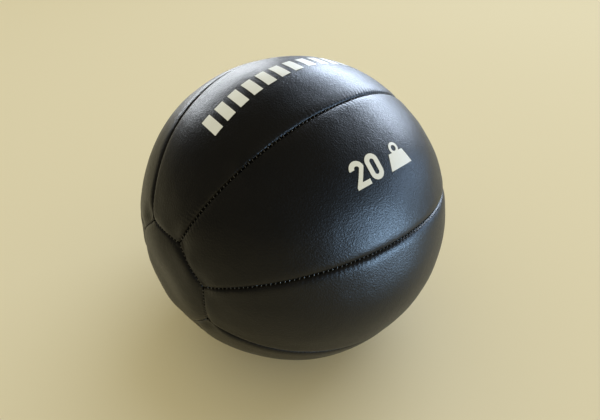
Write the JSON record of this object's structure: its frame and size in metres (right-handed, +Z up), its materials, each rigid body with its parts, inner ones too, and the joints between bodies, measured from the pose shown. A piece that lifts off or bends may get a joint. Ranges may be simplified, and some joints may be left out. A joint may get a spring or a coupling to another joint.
{
  "type": "medicine ball",
  "caption": "Round leather exercise weight sewn from tapered gores and two eight-sided end caps, filled with packed fibre around a sand ballast sack, resting on a small flat patch.",
  "frame": {"origin": "centre of the flat rest patch, on the floor under the ball's centre", "axes": "+Z up, +X along the polar axis from the left end cap to the right end cap, -Y towards the front gore"},
  "size_m": [0.3468, 0.35, 0.3467],
  "materials": {
    "leather": "smooth black leather, semi-gloss",
    "lining": "unbleached cotton backing",
    "thread": "waxed black thread",
    "closing_thread": "waxed black thread",
    "stuffing": "packed textile fibre",
    "canvas": "woven canvas",
    "cord": "twisted cotton cord",
    "sand": "dry quartz sand, opaque",
    "print": "off-white transfer film"
  },
  "bodies": {
    "root": {"gore_back": "leather", "gore_top_back": "leather", "gore_top": "leather", "gore_top_front": "leather", "gore_front": "leather", "gore_bottom_front": "leather", "gore_bottom": "leather", "gore_bottom_back": "leather", "gore_lining_back": "lining", "gore_lining_top_back": "lining", "gore_lining_top": "lining", "gore_lining_top_front": "lining", "gore_lining_front": "lining", "gore_lining_bottom_front": "lining", "gore_lining_bottom": "lining", "gore_lining_bottom_back": "lining", "end_cap_left": "leather", "end_cap_right": "leather", "end_cap_lining_left": "lining", "end_cap_lining_right": "lining", "seam_thread_1": "thread", "seam_thread_2": "thread", "seam_thread_3": "thread", "seam_thread_4": "thread", "seam_thread_5": "thread", "seam_thread_6": "thread", "seam_thread_7": "thread", "seam_thread_8": "thread", "end_cap_thread_left": "thread", "end_cap_thread_right": "thread", "closing_thread": "closing_thread", "stuffing_upper": "stuffing", "stuffing_lower": "stuffing", "ballast_sack": "canvas", "sack_tie_cord": "cord", "ballast_sand": "sand", "weight_print": "print", "band_print": "print"}
  },
  "joints": []
}
